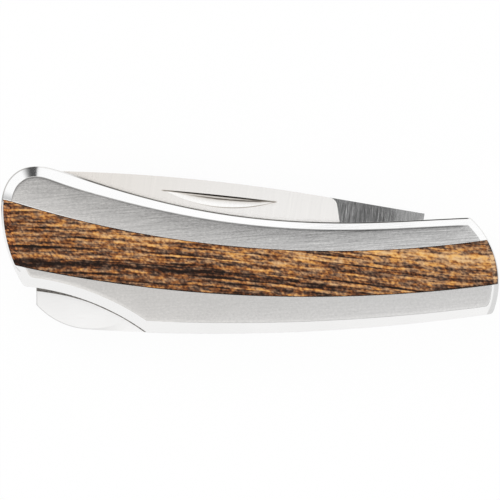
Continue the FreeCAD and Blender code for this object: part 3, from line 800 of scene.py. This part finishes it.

# %% [markdown]
# ## Steel of the sides
# The sides are brushed lengthwise on their flats and polished on their bevels, and their walls are left
# dull. Height tells flat, bevel and wall apart, and the circles of the drawing tell where on the side a
# place is. A dark line of painted shade lies where the polished bevel turns into the wall along the slot.

# %% Zones of a side
# Each zone is a smooth step of X, of the height over the middle plane or of a distance in plan.
MIDDLE = THICKNESS / 2
side_finish, start, shader, (x, y, z) = new_finish("side_steel_brushed")
height = abs(z - MIDDLE)
flat = height.smooth(MIDDLE - 0.05, MIDDLE - 0.015)
face = height.smooth(MIDDLE - 0.30, MIDDLE - 0.20)
wall = height.smooth(MIDDLE - 1.44, MIDDLE - 1.54)
inboard = start.make("Attribute", {"attribute_name": "inboard"}, outlet="Fac")
above_wood = above_arc(x, y, CHANNEL_TOP)
upper = above_wood.smooth(-6.0, -1.0)
lower = 1.0 - upper
to_nose = inside_circle(x, y, NOSE_CENTRE, NOSE_RADIUS)
noseward = x.smooth(26.0, 30.0)
near_nose = to_nose.smooth(2.7, 1.4) * noseward
buttward = x.smooth(-20.0, -28.0)
rubbed = x.smooth(4.0, 16.0) * upper
wider = x.smooth(-16.0, -4.0) * 0.04
# painted shade: the dark line along the slot's arris, where the bevel meets the wall, faded near the nose
# and butt
slot_edge_shade = (height - wider).smooth(MIDDLE - 1.25, MIDDLE - 1.36) * height.smooth(MIDDLE - 1.56, MIDDLE - 1.50)
slot_edge_shade = slot_edge_shade * upper * (1.0 - to_nose.smooth(0.5, 0.2) * noseward * 0.85)
slot_edge_shade = slot_edge_shade * (1.0 - x.smooth(-27.5, -31.5) * (0.80 - x.smooth(-37.0, -40.0) * 0.30))
print("zones of a side:", len(start.tree.nodes), "nodes")

# %% [markdown]
# A belt leaves long and short lines that rise a little towards the nose, with fine grit between them.
# Each is noise that is stretched along the brush by its own amount. Where a hand rubs the slot's edge
# the long lines are stronger.

# %% Brush lines
short = start.noise(x * 1.6, (y - x * 0.09) * 4.4, 0.0, detail=1.0, roughness=0.7)
long = start.noise(x * 0.13, (y - x * 0.07) * 4.0, 7.0, detail=1.0, roughness=0.8)
grit = start.noise(x * 2.4, y * 2.4, 11.0, detail=1.0)
cloud = start.noise(x * 0.10, y * 0.2, 3.0, detail=2.0)
streaks = (short - 0.5) * 0.55 + (long - 0.5) * (0.65 + rubbed * 0.45)
lines = streaks * (0.40 + upper * 0.55) + (grit - 0.5) * (0.42 - upper * 0.14)
scuff = (long - 0.5) * 0.9 + (short - 0.5) * 0.5
print("with brush lines:", len(start.tree.nodes), "nodes")

# %% [markdown]
# The brushed flat's tone carries painted shade that darkens it towards the crease along the slot and the
# hump and towards the wood below, and painted light that lifts it towards the crease along the back, at
# the butt and near the nose. The polished bevel is bright, brighter still on the upper rail as painted
# light, worn where the hand rubs it, and greyer at the nose as painted shade.

# %% Brushed and polished tones
# painted shade and light on the flats: darker near the slot's and hump's crease, lighter near the back's
# crease
shade = inboard.smooth(2.2, 0.0) * x.smooth(-28.0, 5.0) * upper * (1.0 - near_nose)
hump_shade = inboard.smooth(0.9, 0.0) * x.smooth(-28.0, -33.0) * upper
lit = inboard.smooth(0.8, 0.0) * (0.12 + buttward * 0.16) - buttward * 0.055
lower_shade = (inboard.smooth(0.0, 4.0) * 0.08 - lit) * lower
# the base tone 0.64 is the flat's own; the small lifts towards the butt and near the nose are painted light
light = 0.64 + x.smooth(-6.0, -26.0) * upper * 0.025 + near_nose * upper * 0.03
brushed = (light + lines * (0.34 + upper * 0.20)) * (1.0 - shade * 0.15 - hump_shade * 0.28 - lower_shade)
# painted shade: the lower bevel greyer at the nose
nose_shade = to_nose.smooth(1.05, 0.75) * noseward * lower
worn = rubbed * (1.0 - noseward * 0.7)
# upper * 0.10 is painted light on the upper bevels; the worn and scuff terms are wear
polished = 0.90 + upper * 0.10 - worn * 0.07 + scuff * worn * 0.30 - nose_shade * 0.20
print("with both tones:", len(start.tree.nodes), "nodes")

# %% [markdown]
# The flats are very slightly crowned, as a belt leaves them. The crown is the square of the distance
# from the middle of the flat, and the bump's height carries it, so the mesh can stay true to the CAD.

# %% Side steel
# painted shade: a dark line along the crease between bevel and flat on the upper rail
crease = (1.0 - abs(inboard - 0.13).smooth(0.06, 0.26)) * face * upper * (1.0 - near_nose)
# painted highlight: a light line along the channel's upper lip near the butt
glint = above_wood.smooth(0.22, 0.08) * x.smooth(-26.0, -33.0) * face * upper
tone = flat * brushed + (1.0 - flat) * polished + glint * 0.20
tone = tone * (1.0 - crease * (0.30 + rubbed * 0.25)) * (1.0 - slot_edge_shade * (0.88 + rubbed * 0.10))
tone = (tone + (cloud - 0.5) * 0.06) * (1.0 - wall * 0.05)
rough = flat * 0.10 + 0.12 + lines * flat * 0.12 + wall * 0.45
at_crease = (above_wood - inboard - 5.0) ** 2.0 * x.smooth(30.0, -20.0) * lower
crown = ((above_wood - 5.0) ** 2.0 - at_crease) * -0.0065
relief = crown * flat + lines * flat * 0.006
warmth = flat * (0.012 + x.smooth(30.0, -40.0) * 0.035) + lower * 0.012 + slot_edge_shade * 0.12
metal(start, shader, tone, warmth, rough, relief)
FINISHES["side_steel"] = side_finish
print("side steel:", len(start.tree.nodes), "nodes")

# %% [markdown]
# ## Wood
# The wood is golden brown with nearly black streaks, short dark pores and a shimmer of small slanting
# flecks. Its grain bends gently down towards the nose. Each pattern is noise that is stretched along
# the grain by its own amount, because a picture of wood would show its seams and its own light.

# %% Grain
wood_finish, start, shader, (x, y, z) = new_finish("streaked_wood")
run = x + HALF_LENGTH
past = start.math("MAXIMUM", run - 50.0, 0.0)
level = y + run * 0.01 + run * run * 0.0011 - past ** 3.0 * 0.000044
sway = start.noise(x * 0.05, y * 0.10, z * 0.2, detail=2.0)
ripple = start.noise(x * 0.35, y * 0.5, z * 0.3 + 3.0, detail=1.0)
grain = level + (sway - 0.5) * 0.8 + (ripple - 0.5) * 0.22
streak = start.noise(x * 0.012, grain * 1.2, z * 0.3 + 4.0, detail=1.0, roughness=0.6)
dash = start.noise(x * 0.07, grain * 1.5, z * 0.4 + 9.0, detail=1.0, roughness=0.6)
crack = start.noise(x * 0.045, grain * 2.3, z * 0.4 + 15.0, detail=1.0)
thread = start.noise(x * 0.30, grain * 2.0, z * 0.5 + 2.0, detail=1.0)
slope = x * 0.90 - y * 0.43
rise = y * 0.90 + x * 0.43
fleck = start.noise(slope * 1.7, rise * 2.5, z, detail=1.0)
print("grain:", len(start.tree.nodes), "nodes")

# %% [markdown]
# Dirt and oil gather along the joints with the steel, and the sanded ends show end grain: darker and
# redder at the butt, paler at the nose. The distances from the channel's own arcs find these places.

# %% Edges and ends of the wood
top_gap = above_arc(x, y, CHANNEL_TOP)
low_gap = above_arc(x, y, CHANNEL_BOTTOM)
to_nose = inside_circle(x, y, NOSE_CENTRE, NOSE_RADIUS)
noseward = run.smooth(68.0, 76.0)
edge = top_gap.smooth(-0.22 - noseward * 0.25, -0.03) + low_gap.smooth(0.22 + noseward * 0.35, 0.03)
edge = edge + to_nose.smooth(0.45, 0.15) * noseward
height = abs(z - MIDDLE)
butt_end = height.smooth(MIDDLE - 0.07, MIDDLE - 0.20) * run.smooth(20.0, 6.0)
nose_end = height.smooth(MIDDLE - 0.07, MIDDLE - 0.60) * run.smooth(70.0, 80.0)
corner = top_gap.smooth(-1.3, -0.1) + low_gap.smooth(1.3, 0.1) * 0.3
end_grain = start.noise((x + y) * 3.2, (x - y) * 0.9, 6.0, detail=1.0)
print("with edges and ends:", len(start.tree.nodes), "nodes")

# %% [markdown]
# The patterns are summed about one half. A dark heart line is a bell curve across the grain, and cracks
# and edges take away from the sum. The brightest wood is held back, as oil does.

# %% Sum of the patterns
heart = start.math("EXPONENT", ((grain + 2.15) / 0.42) ** 2.0 * -1.0) * run.smooth(66.0, 54.0)
heart = heart * (1.0 - run.smooth(9.0, 3.0) * 0.6)
trend = run * 0.0022 - 0.09 + (y + 1.0) * 0.020 + top_gap.smooth(-2.8, -0.8) * 0.07
calm = 1.0 - run.smooth(36.0, 4.0) * 0.05 - y.smooth(-1.0, -6.0) * 0.05
pattern = (streak - 0.5) * 1.0 + (dash - 0.5) * 1.1 + (thread - 0.5) * 1.1 + (fleck - 0.5) * 1.15
value = 0.556 + pattern * calm - heart * 0.32 - crack.smooth(0.43, 0.33) * 0.38 + trend
value = start.math("MINIMUM", value, value * 0.6 + 0.32)
value = value - edge * 0.30 - run.smooth(11.0, 4.0) * 0.09 + nose_end * 0.15
value = value - butt_end * (0.06 + corner * 0.16 - (end_grain - 0.5) * 0.9)
print("with the sum:", len(start.tree.nodes), "nodes")

# %% [markdown]
# One ramp turns the sum into golden wood and another into dusky wood, and soft patches along the grain
# choose between them. The colours are named as a screen shows them.

# %% Wood colours
GOLDEN = ((0.0, (32, 17, 9)), (0.17, (64, 37, 21)), (0.365, (106, 62, 34)), (0.5, (141, 88, 48)),
          (0.635, (173, 114, 61)), (0.83, (217, 156, 83)), (1.0, (240, 189, 116)))
DUSKY = ((0.0, (29, 20, 15)), (0.17, (54, 39, 31)), (0.365, (83, 64, 53)), (0.5, (118, 90, 70)),
         (0.635, (151, 116, 88)), (0.83, (198, 154, 110)), (1.0, (228, 188, 138)))
END_RED = (1.0, 0.84, 0.76, 1.0)


def tint(screen):
    """A colour as a screen shows it, 0 to 255, turned into the linear light that shaders use."""
    share = np.array(screen) / 255
    return tuple(np.where(share > 0.04045, ((share + 0.055) / 1.055)**2.4, share / 12.92))


golden, dusky = [value.ramp(*[(place, tint(screen)) for place, screen in stops])
                 for stops in (GOLDEN, DUSKY)]
patch = start.noise(x * 0.5, grain * 1.5, z * 0.3 + 12.0, detail=2.0) - butt_end * 0.06 + nose_end * 0.22
patch = patch + run.smooth(45.0, 80.0) * 0.02
colour = start.make("Mix", {"data_type": "RGBA"}, {0: patch.smooth(0.36, 0.64), 6: golden, 7: dusky}, 2)
colour = start.make("Mix", {"data_type": "RGBA", "blend_type": "MULTIPLY"},
                    {0: butt_end * 0.7, 6: colour, 7: END_RED}, 2)
relief = thread * 0.5 + fleck * 0.5
bump = start.make("Bump", None, {"Strength": 0.5, "Distance": 0.06 * MM, "Height": relief})
feed(start, shader, Base_Color=colour, Roughness=0.55 - value * 0.12, Normal=bump, Specular_IOR_Level=0.12)
FINISHES["inlay_wood"] = wood_finish
print("wood:", len(start.tree.nodes), "nodes")

# %% [markdown]
# ## Blade steel
# The blade is ground across, so its lines run from the spine to the edge. On the ground face they are
# so fine that they only soften the light. The ricasso beside the pivot lies a little higher, which is
# how it is told apart, and keeps coarser lines that fade towards the pivot.

# %% Ground lines
BLADE_TILT = math.radians(9.67)
blade_finish, start, shader, (x, y, z) = new_finish("blade_steel_ground")
back = x * -math.cos(BLADE_TILT) + y * math.sin(BLADE_TILT)
over = x * math.sin(BLADE_TILT) + y * math.cos(BLADE_TILT)
lean = back - over * 0.09
tipward = back.smooth(-5.0, 40.0)
pivotward = back.smooth(-22.4, -24.6)
middle = back.smooth(-16.0, -19.0) * (1.0 - pivotward)
ricasso = abs(z - MIDDLE).smooth(1.062, 1.088)
fine = start.noise(back * 2.6, over * 0.06, z * 0.2, detail=2.0, roughness=0.8)
ground = (start.noise(lean * 4.6, over * 0.28, 5.0, detail=2.0, roughness=0.8) - 0.5) * 8.0
mottle = start.noise(lean * 1.9, over * 0.45, 8.0, detail=2.0)
coarse = (ground * 0.32 + (mottle - 0.5) * 0.5) * (1.0 - pivotward * 0.6)
coarse = (coarse + pivotward * 0.26 - middle * 0.20) * ricasso
print("ground lines:", len(start.tree.nodes), "nodes")

# %% [markdown]
# A wheel with a steep and a shallow flank cuts the nail nick. The steep flank, the root below it and the
# lower lip are painted dark, as the shade where they mirror no cloth, and the lens of its floor gets a
# painted highlight. In the nick's own axes the root, the lip and the flank's top are parabolas: a height
# plus a curve times the square of the place along it.

# %% Nail nick
NICK_MIDDLE = np.array([-5.33, 9.43])
NICK_TILT = BLADE_TILT - math.radians(3.70)
NICK_REACH, NICK_CURVE = 1.97, 0.0196
NICK_ROOT, NICK_ROOT_CURVE = 0.55, 0.0057
NICK_FLANK, NICK_FLANK_CURVE = 0.113, 0.00113
from_x, from_y = x - NICK_MIDDLE[0], y - NICK_MIDDLE[1]
along_nick = from_x * math.cos(NICK_TILT) - from_y * math.sin(NICK_TILT)
over_nick = from_x * math.sin(NICK_TILT) + from_y * math.cos(NICK_TILT)
bend = along_nick ** 2.0
front = z.smooth(MIDDLE, MIDDLE + 0.1)
inside = abs(along_nick).smooth(10.3, 9.5) * front
under_spine = over_nick.smooth(0.0, -0.05)
tip_end = along_nick.smooth(-6.5, -9.5)
pivot_end = along_nick.smooth(6.0, 9.5)
blot = start.noise(along_nick * 0.9, over_nick * 2.0, 2.0, detail=2.0)
above_root = over_nick + NICK_ROOT - bend * NICK_ROOT_CURVE
root_line = start.math("EXPONENT", ((above_root + (blot - 0.5) * 0.15) / 0.14) ** 2.0 * -1.0)
shadow = above_root.smooth(-1.0, 0.0) * under_spine
root = (root_line * 0.68 + shadow * 0.26) * along_nick.smooth(-9.0, -1.0) * inside
in_lens = over_nick + NICK_REACH - bend * NICK_CURVE
# painted highlight in the lens of the nick's floor
lens = in_lens.smooth(0.0, 0.10) * under_spine * front
lip = (1.0 - abs(in_lens).smooth(0.02, 0.13)) * along_nick.smooth(-6.0, 3.0) * inside
above_flank = over_nick - NICK_FLANK + bend * NICK_FLANK_CURVE
flank = over_nick.smooth(-0.28, -0.12) * above_flank.smooth(0.03, -0.03) * inside
flank = flank * (0.88 - pivot_end * 0.35 - tip_end * 0.20)
# painted shade over the nick's flank, root and lower lip
nick_shade = (root * (1.0 - flank) + lip * 0.58) * (1.0 - pivot_end * 0.6) + flank
print("with the nick:", len(start.tree.nodes), "nodes")

# %% [markdown]
# The tone falls off towards the tip as painted shade, where the blade dips under the side, the lens's
# painted highlight is added, and the nick's painted shade is taken out of it. The ricasso is smoother but
# its lines are deeper.

# %% Blade steel
# tipward * 0.12 is painted shade towards the tip
tone = 0.95 + (fine - 0.5) * 0.12 + coarse * 0.22 - ricasso * 0.06 - tipward * 0.12
tone = (tone + lens * (0.04 + tipward * 0.16)) * (1.0 - nick_shade)
rough = 0.16 + (fine - 0.5) * 0.05 - ricasso * 0.045 + coarse * 0.10
relief = fine * 0.0004 + ground * ricasso * (1.0 - pivotward * 0.7) * 0.0006
warmth = 0.040 - ricasso * 0.037 + nick_shade * 0.25 + tipward * 0.065 - lens * 0.03
metal(start, shader, tone, warmth, rough, relief)
FINISHES["blade_steel"] = blade_finish
print("blade steel:", len(start.tree.nodes), "nodes")

# %% [markdown]
# ## Lock bar steel
# The lock bar is satin and brushed along its length. A painted shadow of the side darkens it in a line
# along the crescent, broken by fine hatching, and painted shade darkens its outline and end at the tail,
# where they turn away from the light. The tail's face is a little crowned, again by a squared height.

# %% Lock bar steel
bar_finish, start, shader, (x, y, z) = new_finish("bar_steel_satin")
run = x + HALF_LENGTH
fine = start.noise(x * 0.4, y * 4.0, z * 2.0, detail=3.0, roughness=0.65)
cloud = start.noise(x * 0.25, y * 0.3, z * 0.2, detail=2.0)
hatch = start.noise(x * 1.3 - y * 2.0, (x + y) * 3.4, 4.0, detail=1.0).smooth(0.35, 0.65)
under_side = inside_circle(x, y, CRESCENT_CENTRE, CRESCENT_RADIUS) * -1.0
width = 0.32 + run.smooth(16.0, 4.0) * 0.40
# painted shadow of the side along the crescent
crescent_shadow = (under_side + width + (cloud - 0.5) * 0.15).smooth(0.0, 0.12) * under_side.smooth(0.9, 0.4)
crescent_shadow = crescent_shadow * abs(z - MIDDLE).smooth(1.08, 1.18)
to_tail = inside_circle(x, y, TAIL_CENTRE, TAIL_RADIUS)
# painted shade at the tail's outline and end face
outline = to_tail.smooth(0.24, 0.06) * run.smooth(22.0, 12.0)
end = run.smooth(TAIL_END[0] + 0.24, TAIL_END[0] + 0.08)
tone = (0.96 + (fine - 0.5) * 0.05 + (cloud - 0.5) * 0.07) * (1.0 - crescent_shadow * (0.93 - hatch * 0.22))
tone = tone * (1.0 - outline * 0.28) * (1.0 - end * 0.35)
rough = 0.34 + (fine - 0.5) * 0.1
relief = (y + 6.0) ** 2.0 * -0.0075 + fine * 0.002
metal(start, shader, tone, 0.015 + crescent_shadow * 0.12, rough, relief)
FINISHES["bar_steel"] = bar_finish
print("lock bar steel:", len(start.tree.nodes), "nodes")

# %% [markdown]
# ## Small parts
# The spring, the rivets and the washers hide inside and show only when the blade is out. They share one
# plain metal with turned lines and a little tarnish, in three colours. Then every piece gets the finish
# of its slot.

# %% Spring, rivets and washers
SMALL_METALS = {
    "spring_steel": ("spring_steel_tempered", (0.30, 0.31, 0.33), 0.28),
    "rivet_steel": ("rivet_steel_plain", (0.60, 0.60, 0.59), 0.24),
    "washer_brass": ("washer_brass_plain", (0.72, 0.54, 0.24), 0.26),
}


def small_metal(name, colour, rough):
    """A plain metal whose wear, half fine noise and half cloud, sets its colour and its roughness."""
    material, start, shader, (x, y, z) = new_finish(name)
    fine = start.noise(x * 5.0, y * 5.0, z * 12.0, detail=3.0)
    cloud = start.noise(x * 0.6, y * 0.6, z * 0.6, detail=2.0)
    worn = fine * 0.5 + cloud * 0.5
    dark = tuple(part * 0.7 for part in colour)
    feed(start, shader, Base_Color=worn.ramp((0.25, dark), (0.7, colour)), Metallic=1.0,
         Roughness=worn * 0.25 + rough)
    return material


for slot, look in SMALL_METALS.items():
    FINISHES[slot] = small_metal(*look)
for entry in frame["record"]["subparts"]:
    mesh = frame["nodes"][entry["node"]].data
    mesh.materials.clear()
    mesh.materials.append(FINISHES[entry["material_slot"]])
for piece, slot in ((front_side, "side_steel"), (rear_side, "side_steel"),
                    (front_band, "inlay_wood"), (rear_band, "inlay_wood"),
                    (lock_piece, "bar_steel"), (spring_piece, "spring_steel")):
    piece.data.materials.append(FINISHES[slot])
print("finishes:", list(FINISHES))

# %% [markdown]
# ## Studio
# Knives are photographed in a tent of white cloth: every bevel mirrors the cloth, and a flat that faces
# straight up mirrors the dark lens that looks in through the top. So the world is white all round, with
# a soft dark hole overhead, and narrow dark gaps low down where the cloth does not close.

# %% World
HOLE_LEAN = math.radians(0.8)
HOLE_OUTER, HOLE_INNER = math.cos(math.radians(8.0)), math.cos(math.radians(3.0))
world = bpy.data.worlds.new("studio")
bpy.context.scene.world = world
world.use_nodes = True
room = Sock(world.node_tree)
way = room.make("TexCoord", outlet="Generated")
way_parts = room.make("SeparateXYZ", None, {"Vector": way}).socket.node.outputs
way_x, way_y, way_z = [Sock(world.node_tree, out) for out in way_parts]
toward_hole = way_y * math.sin(HOLE_LEAN) + way_z * math.cos(HOLE_LEAN)
hole = toward_hole.smooth(HOLE_OUTER, HOLE_INNER)
# Bearings are in degrees, from +X towards +Y.
bearing = room.math("ARCTAN2", way_y, way_x) * math.degrees(1.0)
gap = bearing.smooth(91.1, 92.6) * bearing.smooth(123.0, 103.0)
end_gap = bearing.smooth(160.0, 173.0)
low_down = way_z.smooth(0.42, 0.30)
level = (1.0 - hole * 0.87) * (1.0 - gap * low_down * 0.92) * (1.0 - end_gap * low_down * 0.5) * 0.98
shown = Sock(world.node_tree, room.make("LightPath").socket.node.outputs["Is Camera Ray"])
strength = level * (1.0 - shown) + shown
background = world.node_tree.nodes["Background"]
background.inputs["Color"].default_value = (1.0, 1.0, 1.0, 1.0)
world.node_tree.links.new(strength.socket, background.inputs["Strength"])
print("world:", len(world.node_tree.nodes), "nodes")

# %% [markdown]
# One soft lamp from behind the slot gives the light a side, so that the wood's flecks and the nick have
# a little shape. Its power goes with its area, so its brightness stays the same at any size.

# %% Soft light
def soft_light(name, centre, size, level, aim):
    """A rectangular lamp facing a point; its power is brightness times pi times its area."""
    lamp = bpy.data.lights.new(name, "AREA")
    lamp.shape = "RECTANGLE"
    lamp.size, lamp.size_y = size
    lamp.energy = level * math.pi * size[0] * size[1]
    holder = bpy.data.objects.new(name, lamp)
    bpy.context.scene.collection.objects.link(holder)
    holder.location = centre
    holder.rotation_euler = (Vector(aim) - Vector(centre)).to_track_quat("-Z", "Y").to_euler()
    return holder


side_lamp = soft_light("side_soft", centre=(-0.35, 0.55, 0.60), size=(0.5, 0.3), level=1.2,
                       aim=(0.0, 0.0, 0.0))
print("side lamp:", round(side_lamp.data.energy, 3), "W")

# %% [markdown]
# The knife lies on white paper that is lit from below, so almost no shadow is left around it. The paper
# glows for the camera and for the metal that mirrors it, and stays plain paper for all other light.

# %% Floor
FLOOR_REACH = 3.0
FLOOR_LEVEL = -0.0002
FLOOR_GLOW = 0.92
floor_mesh = bpy.data.meshes.new("floor")
floor_corners = [(across * FLOOR_REACH, ahead * FLOOR_REACH, FLOOR_LEVEL)
                 for across, ahead in ((-1, -1), (1, -1), (1, 1), (-1, 1))]
floor_mesh.from_pydata(floor_corners, [], [(0, 1, 2, 3)])
floor = bpy.data.objects.new("floor", floor_mesh)
bpy.context.scene.collection.objects.link(floor)
floor_finish, start, shader, (x, y, z) = new_finish("floor_pale")
tone = 0.97 + start.noise(x * 0.01, y * 0.01, 0.0, detail=2.0) * 0.03
paper = start.make("CombineColor", None, {"Red": tone, "Green": tone, "Blue": tone})
feed(start, shader, Base_Color=paper, Roughness=0.9, Specular_IOR_Level=0.0)
path = start.make("LightPath").socket.node.outputs
straight, mirrored, through = [Sock(start.tree, path[name]) for name in (
    "Is Camera Ray", "Is Glossy Ray", "Is Transmission Ray")]
share = start.math("MINIMUM", straight + mirrored + through, 1.0) * FLOOR_GLOW
glow = start.make("Emission", None, {"Color": (1, 1, 1, 1), "Strength": 1.0})
both = start.make("MixShader", None, {0: share, 1: Sock(start.tree, shader.outputs[0]), 2: glow})
start.tree.links.new(both.socket, start.tree.nodes["Material Output"].inputs["Surface"])
floor_mesh.materials.append(floor_finish)
print("floor:", 2 * FLOOR_REACH, "m wide")

# %% [markdown]
# ## Camera
# The picture was taken from straight above with a long lens, and the knife fills its width but for two
# pixels. So the camera's height follows from the width that the picture shows at the wall's outline.

# %% Camera
PICTURE_PIXELS, KNIFE_PIXELS = 500, 498
CAMERA_ASIDE = 0.02
camera_data = bpy.data.cameras.new("camera")
camera_data.lens = 200.0
camera_data.sensor_width = 36.0
camera = bpy.data.objects.new("camera", camera_data)
bpy.context.scene.collection.objects.link(camera)
picture_width = 2 * HALF_LENGTH * PICTURE_PIXELS / KNIFE_PIXELS * MM
camera_height = BEVEL_HEIGHT * MM + picture_width * camera_data.lens / camera_data.sensor_width
camera.location = (CAMERA_ASIDE * MM, 0.0, camera_height)
camera.rotation_euler = (0.0, 0.0, 0.0)
bpy.context.scene.camera = camera
bpy.context.scene.view_settings.view_transform = "Standard"
print("camera:", round(camera_height, 4), "m up")

# %% [markdown]
# ## Sizes
# The dressed knife has to be as large as the solids that it stands for.
